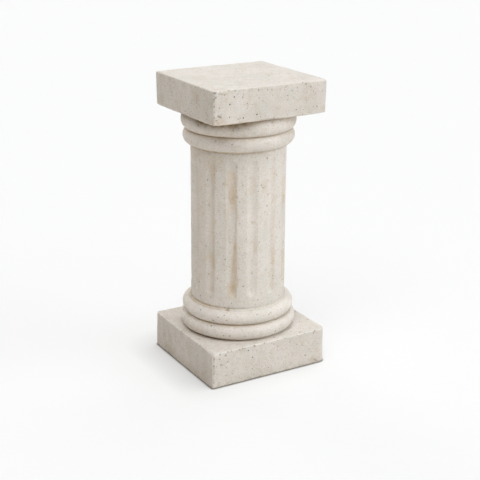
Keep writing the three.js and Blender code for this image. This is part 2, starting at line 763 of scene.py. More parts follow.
def around_holes(
    points: np.ndarray, holes: list[Hole]
) -> Iterator[tuple[Hole, np.ndarray, np.ndarray]]:
    """Finds the points in and around each hole.

    Args:
        points: the points of the surface.
        holes: the holes, settled on the surface.

    Yields:
        The hole, the numbers of the points near it, and how far each is from its middle as a
        share of its radius.
    """
    tree = tree_of(points)
    reach = 1.6
    for hole in holes:
        found = tree.find_range(hole.near, hole.radius * reach)
        if found:
            _, numbers, away = zip(*found)
            yield hole, np.array(numbers), np.array(away) / hole.radius


@dataclass(frozen=True)
class Relief:
    """The uneven face that a mould and years outdoors leave, as lumps of a few sizes."""

    lumps: tuple[tuple[float, float], ...] = ((4, 0.09), (14, 0.2), (90, 0.4))

    def height(self, points: np.ndarray) -> np.ndarray:
        """Works out how far each point stands out.

        Args:
            points: the casting's points.

        Returns:
            The height of the face at each point, in millimetres.
        """
        layers = [
            tall * fractal(points, size, 2, 11.3 + number * 5.1)
            for number, (size, tall) in enumerate(self.lumps)
        ]
        return np.sum(layers, axis=0)


@dataclass(frozen=True)
class Stain:
    """A brown run between two heights. Each end has a seen angle and a half angle in degrees."""

    high: float
    upper: tuple[float, float]
    low: float
    lower: tuple[float, float]
    strength: float
    soft: float = 12.0  # millimetres over which each end fades

    def amount(self, seen: np.ndarray, height: np.ndarray) -> np.ndarray:
        """Works out how strong the stain is at each point, from 0 to 1.

        Args:
            seen: each point's angle to the right of the camera's line, in degrees.
            height: each point's height.

        Returns:
            A share for each point.
        """
        share = np.clip((height - self.low) / (self.high - self.low), 0, 1)
        middle = self.lower[0] + (self.upper[0] - self.lower[0]) * share
        half = self.lower[1] + (self.upper[1] - self.lower[1]) * share
        away = np.abs((seen - middle + 180) % 360 - 180) / half
        across = smooth_step((1.45 - away) / 0.85)  # full in the middle, gone at 1.45
        along = smooth_step((height - self.low) / self.soft + 0.5)
        return self.strength * across * along * smooth_step((self.high - height) / self.soft + 0.5)


@dataclass(frozen=True)
class Groove:
    """A hollow ring darkened brown: partly settled soil, partly painted shade in the hollow."""

    height: float
    half_height: float
    outer_radius: float
    strength: float

    def amount(self, radius: np.ndarray, height: np.ndarray) -> np.ndarray:
        """Works out how much dirt has settled at each point, from 0 to 1.

        Args:
            radius: each point's distance from the column's axis.
            height: each point's height.

        Returns:
            A share for each point.
        """
        along = smooth_step(1.6 - np.abs(height - self.height) / self.half_height)
        return self.strength * along * smooth_step((self.outer_radius - radius) / 6 + 0.5)


@dataclass(frozen=True)
class GrimeAndShade:
    """Grey-brown grimy soiling and painted shade round the column. It fades out at each bound, half there
    and half beyond.
    """

    low: tuple[float, float]  # each bound is a place, and how far the fade reaches
    high: tuple[float, float]
    outer_radius: tuple[float, float]
    strength: float
    right_end: tuple[float, float] = (300.0, 1.0)  # degrees seen to the right
    left_end: tuple[float, float] = (-300.0, 1.0)
    # Whether the painted shade fades out on the lit right side
    lit_right_lighter: bool = True

    def amount(self, seen: np.ndarray, radius: np.ndarray, height: np.ndarray) -> np.ndarray:
        """Works out how much grime lies at each point, from 0 to 1.

        Args:
            seen: each point's angle to the right of the camera's line, in degrees.
            radius: each point's distance from the column's axis.
            height: each point's height.

        Returns:
            A share for each point.
        """
        share = self.strength * smooth_step((height - self.low[0]) / self.low[1] + 0.5)
        share = share * smooth_step((self.high[0] - height) / self.high[1] + 0.5)
        share = share * smooth_step((self.outer_radius[0] - radius) / self.outer_radius[1] + 0.5)
        share = share * smooth_step((self.right_end[0] - seen) / self.right_end[1] + 0.5)
        return share * smooth_step((seen - self.left_end[0]) / self.left_end[1] + 0.5)


@dataclass(frozen=True)
class Smudge:
    """A soft brown patch on a slab, as its middle, its half sizes and how strong it is."""

    place: tuple[float, float, float]
    half_across: float
    half_tall: float
    strength: float

    def amount(self, points: np.ndarray) -> np.ndarray:
        """Works out how brown the patch makes each point, from 0 to 1.

        Args:
            points: the casting's points.

        Returns:
            A share for each point.
        """
        away = points - self.place
        across = np.hypot(away[:, 0], away[:, 1]) / self.half_across
        return self.strength * np.exp(-(across**2) - (away[:, 2] / self.half_tall) ** 2)


@dataclass
class Weathering:
    """What years outdoors have left on the stone: rain-washed brown, grey-brown grimy patches and
    smudges, with painted shade in its hollows.
    """

    flutes: Flutes
    seed: int = 71
    shaft_heights: tuple[float, float] = (140.5, 471.0)  # where the stains in the flutes end
    in_flutes: tuple[Stain, ...] = (
        Stain(437, (-8.4, 2.6), 408, (-7.6, 6.2), 0.48, 18.0),
        Stain(414, (-7.4, 6.0), 358, (-5.8, 3.8), 0.6, 34.0),
        Stain(366, (-2.6, 1.3), 280, (-3.0, 1.3), 0.5),
        Stain(366, (-13.0, 2.2), 290, (-13.0, 2.4), 0.3),
        Stain(284, (-3.2, 2.2), 196, (-5.0, 4.4), 0.8),
        Stain(198, (-6.8, 5.0), 168, (-8.0, 4.4), 0.8, 10.0),
        Stain(446, (-32.6, 4.4), 172, (-33.0, 4.4), 0.25),
        Stain(446, (-31.0, 1.8), 172, (-31.4, 2.0), 0.15),
        Stain(446, (-33.0, 4.0), 412, (-32.0, 2.6), 0.2),
        Stain(266, (-34.0, 4.0), 227, (-32.4, 2.6), 0.45),
        Stain(190, (-33.0, 4.5), 166, (-33.0, 4.0), 0.4),
        Stain(418, (17.0, 4.0), 392, (18.0, 3.4), 0.3),
        Stain(286, (21.0, 2.2), 260, (21.2, 2.4), 0.4),
        Stain(440, (46.5, 2.6), 172, (46.8, 2.6), 0.25),
        Stain(256, (47.4, 2.2), 230, (47.4, 2.2), 0.5),
        Stain(412, (72.0, 4.0), 345, (73.0, 4.0), 0.35),
        Stain(246, (73.0, 3.6), 180, (73.0, 3.6), 0.4),
        Stain(440, (-57.5, 3.6), 172, (-57.5, 3.6), 0.3),
        Stain(446, (-47.0, 8.0), 160, (-47.0, 8.0), 0.14, 30.0),
        Stain(474, (-85.0, 6.0), 150, (-85.0, 6.0), 0.65),
        Stain(414, (33.0, 3.8), 386, (33.0, 4.2), 0.35),
        # These two runs under the lower neck ring's left side are partly brown stain, partly painted
        # shade under the ring
        Stain(468, (-62.0, 16.0), 446, (-58.0, 14.0), 0.25),
        Stain(468, (-30.0, 14.0), 440, (-30.0, 12.0), 0.3),
        Stain(247, (-17.0, 1.0), 240, (-17.0, 1.0), 0.5, 4.0),
    )
    # A dark spot at the shaft's foot, and painted shade mixed with brown in the crease at the shaft's
    # foot, on the lowest ring's left side and on the neck ring under the cap's front corner
    ring_stains_and_shade: tuple[Stain, ...] = (
        Stain(146, (-11.5, 1.8), 139, (-11.5, 2.0), 0.8, 4.0),
        Stain(146, (-55.0, 34.0), 141.6, (-55.0, 34.0), 0.75, 2.0),
        Stain(100, (-50.0, 14.0), 88, (-50.0, 14.0), 0.25, 8.0),
        Stain(546, (-14.0, 34.0), 532, (-12.0, 30.0), 0.6, 10.0),
    )
    # Painted shade in the hollows between the rings, mixed with settled brown
    grooves: tuple[Groove, ...] = (
        Groove(474.4, 2.2, 104, 0.95),
        Groove(505.9, 4.5, 114, 0.3),
        Groove(543.5, 9.0, 118, 0.3),
        Groove(143.0, 1.4, 101.5, 0.5),
        Groove(111.7, 5.0, 115, 0.5),
        Groove(78.0, 6.0, 120, 0.25),
    )
    # Painted shade with some grey-brown soiling: under the cap, under the lower neck ring, in the crease
    # at the shaft's foot, and under and between the foot rings
    grime_and_shade_bands: tuple[GrimeAndShade, ...] = (
        GrimeAndShade((527, 26), (544, 4), (126, 8), 0.3, (-20, 60)),
        GrimeAndShade((528, 24), (545, 4), (126, 8), 1.45, (11, 26), (-46, 26)),
        GrimeAndShade((541, 4), (546, 3), (126, 8), 0.6, lit_right_lighter=False),
        GrimeAndShade((472, 3), (479, 4), (109, 5), 0.28, lit_right_lighter=False),
        GrimeAndShade((142, 1.6), (146, 3), (102, 3), 0.52),
        GrimeAndShade((103, 6), (111, 4), (118, 5), 0.21),
        GrimeAndShade((77, 2), (86, 6), (121.5, 5), 0.1),
    )
    # A dark spot at the shaft's foot
    spots: tuple[Stain, ...] = (
        Stain(146.5, (-11.5, 1.5), 141, (-11.5, 1.5), 0.67, 3.0),
    )
    smudges: tuple[Smudge, ...] = (
        Smudge((-125, -54, 588), 13, 28, 0.62),
        Smudge((-125, 96, 600), 14, 14, 0.42),
        Smudge((-125, 20, 560), 18, 12, 0.38),
        Smudge((-125, -100, 575), 12, 30, 0.38),
        Smudge((-113, -125, 549), 13, 9, 1.1),
        Smudge((-46, -125, 588), 9, 24, 0.35),
        Smudge((20, -125, 560), 20, 12, 0.25),
        Smudge((90, -125, 575), 16, 30, 0.25),
        Smudge((-132, 90, 38), 7, 20, 0.8),
        Smudge((-132, 70, 12), 36, 14, 0.5),
        Smudge((-132, -98, 16), 18, 26, 0.55),
        Smudge((-132, -30, 10), 40, 10, 0.4),
        Smudge((-132, -40, 60), 14, 12, 0.3),
        Smudge((114, -132, 9), 10, 8, 0.5),
        Smudge((-20, -132, 20), 26, 14, 0.25),
        Smudge((60, -132, 40), 20, 22, 0.2),
    )

    def far_stains(self) -> list[Stain]:
        """Draws weaker stains for the flutes of the far side.

        Returns:
            The stains.
        """
        chance = random.Random(self.seed)
        pitch = 360 / self.flutes.count
        stains = []
        for number in range(self.flutes.count):
            seen_angle = number * pitch - world_angle(0)
            side = chance.choice((-1, 1)) * chance.uniform(1, 3.5)
            low = chance.uniform(166, 300)
            high = low + chance.uniform(60, 150)
            strength = chance.uniform(0.3, 0.7)
            if number not in self.flutes.seen:
                run = (seen_angle + side, 6 - abs(side) * 0.8)
                stains.append(Stain(high, (run[0], run[1] * 0.6), low, run, strength))
                stains.append(Stain(186, (seen_angle, 5.0), 164, (seen_angle, 4.5), strength * 0.8))
        return stains

    def wash_and_shade(self, points: np.ndarray) -> np.ndarray:
        """How much rain-washed brown each point has, with painted shade in the grooves and ring creases.

        Args:
            points: the points of the finished surface.

        Returns:
            A share from 0 to 1 for each point.
        """
        seen = np.degrees(np.arctan2(points[:, 1], points[:, 0])) - world_angle(0)
        radius = np.hypot(points[:, 0], points[:, 1])
        height = points[:, 2]
        # Runs break up and wander more across than along, because water draws them downwards
        stretched = points * (1, 1, 0.3)
        ragged = np.clip(0.8 + 0.6 * fractal(stretched, 8, 3, 2.2), 0, 1.25)
        seen += 1.5 * fractal(stretched, 16, 3, 5.9)
        strayed = height + 9 * fractal(points, 22, 3, 7.7)
        shade_share = self.shade_share(seen)
        clean = np.ones(len(points))
        for stain in (*self.in_flutes, *self.far_stains()):
            clean *= 1 - np.clip(stain.amount(seen, strayed) * ragged, 0, 1)
        clean[(height < self.shaft_heights[0]) | (height > self.shaft_heights[1])] = 1
        for stain in self.ring_stains_and_shade:
            clean *= 1 - np.clip(stain.amount(seen, height) * ragged, 0, 1)
        for groove in self.grooves:
            clean *= 1 - np.clip(groove.amount(radius, height) * ragged * shade_share, 0, 1)
        return 1 - clean

    @staticmethod
    def shade_share(seen: np.ndarray) -> np.ndarray:
        """How much painted shade each side takes: least on the near side's right, where the lights fall.
        """
        around = (seen + 180) % 360 - 180
        return np.where(np.abs(around) < 100, 0.35 + 0.65 * smooth_step((50 - around) / 70), 0.8)

    def grime_and_shade(self, points: np.ndarray) -> np.ndarray:
        """How much grey-brown soiling and painted shade each point has, from 0 to 1.

        Args:
            points: the points of the finished surface.

        Returns:
            A share from 0 to 1 for each point.
        """
        seen = np.degrees(np.arctan2(points[:, 1], points[:, 0])) - world_angle(0)
        seen = (seen + 180) % 360 - 180
        radius = np.hypot(points[:, 0], points[:, 1])
        height = points[:, 2]
        ragged = np.clip(0.85 + 0.5 * fractal(points, 10, 3, 3.9), 0, 1.2)
        shade_share = self.shade_share(seen)
        amounts = [
            grime_and_shade.amount(seen, radius, height) * (shade_share if grime_and_shade.lit_right_lighter else 1.0)
            for grime_and_shade in self.grime_and_shade_bands
        ]
        amounts += [spot.amount(seen, height) for spot in self.spots]
        # Some splashes reach 24 mm up the foot slab, and a painted contact shadow darkens it where it
        # meets the floor
        foot_edge = 0.19 * smooth_step((24 - height) / 24) * smooth_step((radius - 100) / 20)
        foot_edge = np.maximum(foot_edge, 0.75 * smooth_step((3.6 - height) / 1.6))
        return np.clip(np.max([*amounts, foot_edge], axis=0) * ragged, 0, 1)

    def smudged(self, points: np.ndarray, on_slab: np.ndarray) -> np.ndarray:
        """How much each point is smudged with brown, from 0 to 1.

        Args:
            points: the points of the finished surface.
            on_slab: which points lie on the slabs.

        Returns:
            A share from 0 to 1 for each point.
        """
        patches = smooth_step((fractal(points * (1, 1, 0.6), 26, 4, 8.8) - 0.02) / 0.7)
        # The level tops, the -X sides and the other sides each take their own share
        level = np.abs(points[:, :2]).max(axis=1) < 121
        side = np.where(points[:, 0] < -124, 0.4, 0.22)
        placed = np.max([smudge.amount(points) for smudge in self.smudges], axis=0)
        ragged = np.clip(0.9 + 0.9 * fractal(points, 7, 3, 1.3), 0, 1.5)
        share = np.maximum(np.where(level, 0.25, side) * patches, placed * ragged)
        return np.where(on_slab, np.clip(share, 0, 1), 0)


@dataclass
class Casting:
    """The whole column: one piece of cast stone, worn with use. Lengths are millimetres."""

    height: float
    foot_width: float
    foot_thickness: float = 76.8
    foot_upper_width: float = 263.6
    top_lower_width: float = 249.6
    top_upper_width: float = 251.4
    top_thickness: float = 65.4
    shaft_foot: tuple[float, float] = (99.7, 143.4)
    shaft_neck: tuple[float, float] = (98.9, 474.4)
    # The rings, each as root, radius, middle, fall, rise and upper root
    foot_lower: Moulding = field(default_factory=lambda: Moulding(106.0, 123.2, 95.0, 16.2, 16.2, 107.5))
    foot_upper: Moulding = field(default_factory=lambda: Moulding(107.0, 118.1, 127.5, 15.8, 11.6, 104.4))
    neck_lower: Moulding = field(default_factory=lambda: Moulding(100.4, 115.0, 492.3, 17.5, 13.2, 105.0))
    neck_upper: Moulding = field(default_factory=lambda: Moulding(104.5, 118.3, 524.6, 18.4, 18.0, 103.5))
    fillet_radius: float = 104.4
    fillet_top: float = 142.8
    flutes: Flutes = field(default_factory=Flutes)
    # How far the casting strays to the camera's right, as (height, shift)
    lean: tuple[tuple[float, float], ...] = (
        (0, -0.4),
        (75, -0.6),
        (95, -1.5),
        (128, -1.3),
        (160, -1.0),
        (300, -0.4),
        (460, 0.35),
        (492, 1.0),
        (525, 1.0),
        (545, 0.2),
        (610, 0.0),
    )
    # How pale the stone is painted by height, as (height, share): partly its own tone, partly painted
    # light and shade
    tone_and_light_levels: tuple[tuple[float, float], ...] = (
        (71, 0.995),
        (81, 1.03),
        (100, 1.03),
        (112, 1.05),
        (126, 1.12),
        (134, 1.04),
        (142, 0.99),
        (155, 1.08),
        (300, 1.1),
        (470, 1.12),
        (485, 1.13),
        (500, 1.11),
        (539, 1.17),
        (549, 1.05),
    )
    hub_radius: float = 4.0
    turn_steps: int = 336
    spacing: float = 2.6
    triangle_limit: int = 196_000
    relief: Relief = field(default_factory=Relief)

    def __post_init__(self) -> None:
        """Sets up the two slabs, the holes and the stains."""
        self.knocks = Knocks(self.height, self.foot_width / 2)
        self.weathering = Weathering(self.flutes)
        self.foot = Slab(
            lower_width=self.foot_width,
            upper_width=self.foot_upper_width,
            bottom=0.0,
            top=self.foot_thickness,
            root=self.foot_lower.root,
            upper_rounding=2.6,
            lower_rounding=1.7,
            round_side=Arris.UPPER,
            out_of_square=(8.8, 1.2, 0.4, -1.2),
            corners=(9.0, 9.0, 15.0, 4.5),
            battered=2.6,
            splay=1.7,
        )
        self.cap = Slab(
            lower_width=self.top_lower_width,
            upper_width=self.top_upper_width,
            bottom=self.height - self.top_thickness,
            top=self.height,
            root=self.neck_upper.upper_root,
            upper_rounding=2.3,
            lower_rounding=2.4,
            round_side=Arris.LOWER,
            out_of_square=(5.2, 0.2, -2.4, -0.2),
            corners=(6.5, 4.5, 4.5, 2.5),
            tilt=(0.3, 1.8),
            sag=1.9,
            battered=1.2,
        )

    def outline(self) -> list[tuple[float, float]]:
        """Lays the turned outline, from the underside's middle to the top's middle.

        Returns:
            The points (radius, height).
        """
        gap = self.spacing
        foot_side = self.foot.side_outline(gap)
        cap_side = self.cap.side_outline(gap)
        rings_low = self.foot_lower.outline(gap)
        rings_mid = self.foot_upper.outline(gap)
        neck_low = self.neck_lower.outline(gap)
        neck_high = self.neck_upper.outline(gap)
        # The foot's top runs up a little to the lowest ring
        foot_run = (114.5, self.foot.top)
        foot_root = (self.foot_lower.root, self.foot_lower.middle - self.foot_lower.fall)
        cap_root = (self.neck_upper.upper_root, self.cap.bottom)
        chamfer = 0.7
        fillet = [
            (self.fillet_radius, self.fillet_top - chamfer),
            (self.fillet_radius - chamfer, self.fillet_top),
        ]
        underside_gap, top_gap = 12, 6
        parts = [
            [(self.hub_radius, 0.0)],
            straight((self.hub_radius, 0.0), foot_side[0], underside_gap),
            foot_side,
            straight(foot_side[-1], foot_run, gap),
            [foot_run],
            straight(foot_run, foot_root, gap),
            rings_low,
            rings_mid,
            fillet,
            [self.shaft_foot],
            straight(self.shaft_foot, self.shaft_neck, gap * 1.4),
            [self.shaft_neck],
            neck_low,
            neck_high,
            [cap_root],
            straight(cap_root, cap_side[0], gap),
            cap_side,
            straight(cap_side[-1], (self.hub_radius, self.height), top_gap),
            [(self.hub_radius, self.height)],
        ]
        return [point for part in parts for point in part]

    def turned(self) -> bpy.types.Object:
        """Spins the outline to a closed, smooth solid, with every ring still a circle.

        Returns:
            The solid, in millimetres.
        """
        bm = bmesh.new()
        corners = [bm.verts.new((radius, 0, height)) for radius, height in self.outline()]
        edges = [bm.edges.new(pair) for pair in zip(corners, corners[1:])]
        bmesh.ops.spin(
            bm,
            geom=corners + edges,
            cent=(0, 0, 0),
            axis=(0, 0, 1),
            dvec=(0, 0, 0),
            angle=FULL_TURN / 4,
            steps=self.turn_steps // 4,
            use_merge=False,
            use_duplicate=False,
        )
        for turn in (FULL_TURN / 4, FULL_TURN / 2):
            copied = bmesh.ops.duplicate(bm, geom=bm.verts[:] + bm.edges[:] + bm.faces[:])
            moving = [part for part in copied["geom"] if isinstance(part, bmesh.types.BMVert)]
            bmesh.ops.rotate(bm, verts=moving, cent=(0, 0, 0), matrix=Matrix.Rotation(turn, 3, "Z"))
        seam_gap = 0.02
        bmesh.ops.remove_doubles(bm, verts=bm.verts, dist=seam_gap)
        bmesh.ops.recalc_face_normals(bm, faces=bm.faces)
        put_in_order(bm)
        mesh = bpy.data.meshes.new("column_casting")
        bm.to_mesh(mesh)
        bm.free()
        point_edges_alike(mesh)
        body = bpy.data.objects.new("column_casting", mesh)
        bpy.context.scene.collection.objects.link(body)
        smoothing = body.modifiers.new("finer", "SUBSURF")
        smoothing.levels = smoothing.render_levels = 1
        apply_modifiers(body)
        bm = bmesh.new()
        bm.from_mesh(body.data)
        hubs = bmesh.ops.holes_fill(bm, edges=bm.edges, sides=0)
        bmesh.ops.poke(bm, faces=hubs["faces"])
        bmesh.ops.recalc_face_normals(bm, faces=bm.faces)
        bm.to_mesh(body.data)
        bm.free()
        point_edges_alike(body.data)
        return body

    def shaped(self, points: np.ndarray) -> np.ndarray:
        """Squares the slabs, cuts the flutes and wears the edges.

        Args:
            points: the turned solid's points.

        Returns:
            The points, moved.
        """
        points = self.cap.squared(self.foot.squared(points))
        on_shaft = (points[:, 2] > self.shaft_foot[1]) & (points[:, 2] < self.shaft_neck[1])
        points = self.flutes.carved(points, on_shaft)
        for slab in (self.foot, self.cap):
            points = slab.cornered(slab.worn(slab.skewed(points)))
        heights, shifts = zip(*self.lean)
        turn = math.radians(CAMERA_AZIMUTH)
        aside = np.interp(points[:, 2], heights, shifts)[:, None] * (math.cos(turn), math.sin(turn))
        return points + np.hstack([aside, np.zeros((len(points), 1))])

    def roughened(self, body: bpy.types.Object, holes: list[Hole]) -> np.ndarray:
        """Gives the face its lumps and holes.

        Args:
            body: the shaped casting, in metres.
            holes: the holes, settled on its surface.

        Returns:
            The casting's points in millimetres.
        """
        points = read_points(body.data) / MM
        normals = read_points(body.data, "normal")
        out = self.relief.height(points)
        for hole, numbers, away in around_holes(points, holes):
            sunk = hole.depth * np.clip(1 - away**2, 0, 1)
            out[numbers] = np.minimum(out[numbers], -sunk)
        out *= smooth_step(points[:, 2] / 1.5 + 0.3)  # the underside stays flat
        points += normals * out[:, None]
        points[:, 2] = np.maximum(points[:, 2], 0)
        return points

    def tone_and_painted_light(self, points: np.ndarray) -> np.ndarray:
        """Works out how pale the stone is painted: partly its own tone, partly painted light and shade by
        height, with painted shade on the slabs' level tops.

        Args:
            points: the casting's points.

        Returns:
            A share for each point, about 1.
        """
        pale = np.interp(points[:, 2], *zip(*self.tone_and_light_levels))
        on_foot = smooth_step(1.3 - np.abs(points[:, 2] - self.foot.top) / 2.5)
        on_foot *= smooth_step((np.hypot(points[:, 0], points[:, 1]) - 118) / 6)
        on_cap = smooth_step((points[:, 2] - self.cap.top) / 3 + 0.8)
        # Painted shade: the level tops of the foot and the cap are darkened
        return pale * (1 - 0.09 * on_foot) * (1 - 0.08 * on_cap)

    def dress(self, body: bpy.types.Object, holes: list[Hole]) -> None:
        """Marks where the stone is stained, dirty and rubbed, and where light and shade are painted, for
        the material to read.

        Args:
            body: the finished casting.
            holes: the holes, settled on its surface.
        """
        points = read_points(body.data) / MM
        # Painted contact shadow where the stone meets the floor, and dark in the holes, partly soil and
        # partly painted shade
        dirt_and_shade = smooth_step((2.6 - points[:, 2]) / 1.6)
        for hole, numbers, away in around_holes(points, holes):
            deep = 0.5 if hole.radius > self.knocks.widest_darkened else 1.0
            dirt_and_shade[numbers] = np.maximum(dirt_and_shade[numbers], deep * smooth_step((1.35 - away) / 0.8))
        ragged = np.clip(0.75 + 0.6 * fractal(points, 6, 3, 6.6), 0, 1)
        rubbed = (self.foot.rubbed(points) + 0.6 * self.cap.rubbed(points)) * ragged
        write_marks(body.data, "tone_and_painted_light", self.tone_and_painted_light(points))
        on_slab = self.foot.owns(points) | self.cap.owns(points)
        # Specks and pores are fainter on the cap's top and on the round stone
        on_top, on_round = 0.6, 0.55
        slab_coarse = np.where(points[:, 2] > self.cap.top - 1, on_top, 1.0)
        write_marks(body.data, "coarse", np.where(on_slab, slab_coarse, on_round))
        write_marks(body.data, "smudge", self.weathering.smudged(points, on_slab))
        write_marks(body.data, "wash_and_shade", self.weathering.wash_and_shade(points))
        write_marks(body.data, "grime_and_shade", self.weathering.grime_and_shade(points))
        write_marks(body.data, "dirt_and_shade", dirt_and_shade)
        write_marks(body.data, "rubbed", rubbed * (1 - dirt_and_shade))

    def build(self) -> bpy.types.Object:
        """Builds the finished casting.

        Returns:
            The object, with its mesh in metres.
        """
        body = self.turned()
        points = self.shaped(read_points(body.data))
        write_points(body.data, points * MM)
        holes = self.knocks.settled(points)
        write_points(body.data, self.roughened(body, holes) * MM)
        fewer = body.modifiers.new("fewer", "DECIMATE")
        fewer.ratio = self.triangle_limit / (2 * len(body.data.polygons))
        apply_modifiers(body)
        body.data.polygons.foreach_set("use_smooth", [True] * len(body.data.polygons))
        self.dress(body, holes)
        return body


def put_in_order(bm: bmesh.types.BMesh) -> None:
    """Numbers a mesh's parts by where they are, because the operators' own order varies.

    Args:
        bm: the mesh, in millimetres.
    """

    def place_in_line(place: Vector) -> int:
        """One whole number for a place, from its height, then X, then Y."""
        x, y, z = (round(share * 100) for share in place)
        return (z * 100_000 + x) * 100_000 + y

    bm.verts.sort(key=lambda corner: place_in_line(corner.co))
    bm.edges.sort(key=lambda edge: place_in_line(edge.verts[0].co + edge.verts[1].co))
    bm.faces.sort(key=lambda face: place_in_line(face.calc_center_median()))


def point_edges_alike(mesh: bpy.types.Mesh) -> None:
    """Runs each edge from its lower numbered end, so that the mesh is thinned alike every run.

    Args:
        mesh: the mesh to change.
    """
    ends = np.empty(len(mesh.edges) * 2, dtype=np.int32)
    mesh.edges.foreach_get("vertices", ends)
    mesh.edges.foreach_set("vertices", np.sort(ends.reshape(-1, 2), axis=1).ravel())


def read_points(mesh: bpy.types.Mesh, what: str = "co") -> np.ndarray:
    """Reads a mesh's points or their normals.

    Args:
        mesh: the mesh to read.
        what: "co" for the places, "normal" for the normals.

    Returns:
        One row of three numbers for each point.
    """
    flat = np.empty(len(mesh.vertices) * 3)
    mesh.vertices.foreach_get(what, flat)
    return flat.reshape(-1, 3)


def write_points(mesh: bpy.types.Mesh, points: np.ndarray) -> None:
    """Moves the mesh's points to the rows of an array.

    Args:
        mesh: the mesh to change.
        points: one row for each point.
    """
    mesh.vertices.foreach_set("co", points.ravel())
    mesh.update()


def write_marks(mesh: bpy.types.Mesh, name: str, amounts: np.ndarray) -> None:
    """Keeps one number for each point of the mesh, under a name that the material reads.

    Args:
        mesh: the mesh to mark.
        name: the mark's name.
        amounts: one number for each point.
    """
    marks = mesh.attributes.new(name, "FLOAT", "POINT")
    marks.data.foreach_set("value", amounts.astype(np.float32))


def apply_modifiers(body: bpy.types.Object) -> None:
    """Gives an object the mesh that its modifiers make, and takes them off.

    Args:
        body: the object.
    """
    evaluated = body.evaluated_get(bpy.context.evaluated_depsgraph_get())
    finished = bpy.data.meshes.new_from_object(evaluated)
    body.modifiers.clear()
    body.data = finished


@dataclass(frozen=True)
class PhotoCamera:
    """The camera, worked out from the slabs' corners and the rings in the photograph."""

    focal_pixels: float = 1065.17
    picture_pixels: int = 480
    sensor: float = 36.0
    distance: float = 2.24117
    elevation: float = 17.67
    # How far it is turned off the column's axis, in degrees
    pan: float = 0.10
    tilt: float = -1.08
    roll: float = 0.06

    def build(self, aim_height: float) -> bpy.types.Object:
        """Sets up the scene's camera.

        Args:
            aim_height: the height of the point that the camera stands round, in metres.

        Returns:
            The camera.
        """
        azimuth, elevation = math.radians(CAMERA_AZIMUTH), math.radians(self.elevation)
        back = Vector(
            (
                math.sin(azimuth) * math.cos(elevation),
                -math.cos(azimuth) * math.cos(elevation),
                math.sin(elevation),
            )
        )
        right = (-back).cross(Vector((0, 0, 1))).normalized()
        up = right.cross(-back)
        pan, tilt, roll = (math.radians(a) for a in (self.pan, self.tilt, self.roll))
        forward = (-back + math.tan(pan) * right + math.tan(tilt) * up).normalized()
        right = forward.cross(up).normalized()
        up = right.cross(forward)
        turned_right = math.cos(roll) * right + math.sin(roll) * up
        turned_up = math.cos(roll) * up - math.sin(roll) * right
        axes = Matrix((turned_right, turned_up, -forward)).transposed()
        data = bpy.data.cameras.new("camera")
        data.sensor_width = self.sensor
        data.lens = self.focal_pixels * self.sensor / self.picture_pixels
        data.clip_start = 0.1
        data.clip_end = 60
        camera = bpy.data.objects.new("camera", data)
        place = Vector((0, 0, aim_height)) + back * self.distance
        camera.matrix_world = Matrix.Translation(place) @ axes.to_4x4()
        bpy.context.scene.collection.objects.link(camera)
        bpy.context.scene.camera = camera
        return camera


@dataclass(frozen=True)
class SoftLight:
    """A broad lamp far away. Its azimuth is in degrees to the right of the camera."""

    name: str
    azimuth: float
    elevation: float
    strength: float
    colour: str = "ffffff"
    spread: float = 40.0

    def build(self) -> None:
        """Adds the lamp."""
        data = bpy.data.lights.new(self.name, "SUN")
        data.energy = self.strength
        data.color = linear(self.colour)[:3]
        data.angle = math.radians(self.spread)
        light = bpy.data.objects.new(self.name, data)
        turn = math.radians(CAMERA_AZIMUTH + self.azimuth)
        rise = math.radians(self.elevation)
        back = Vector((math.sin(turn) * math.cos(rise), -math.cos(turn) * math.cos(rise), math.sin(rise)))
        light.rotation_mode = "QUATERNION"
        light.rotation_quaternion = (-back).to_track_quat("-Z", "Y")
        bpy.context.scene.collection.objects.link(light)


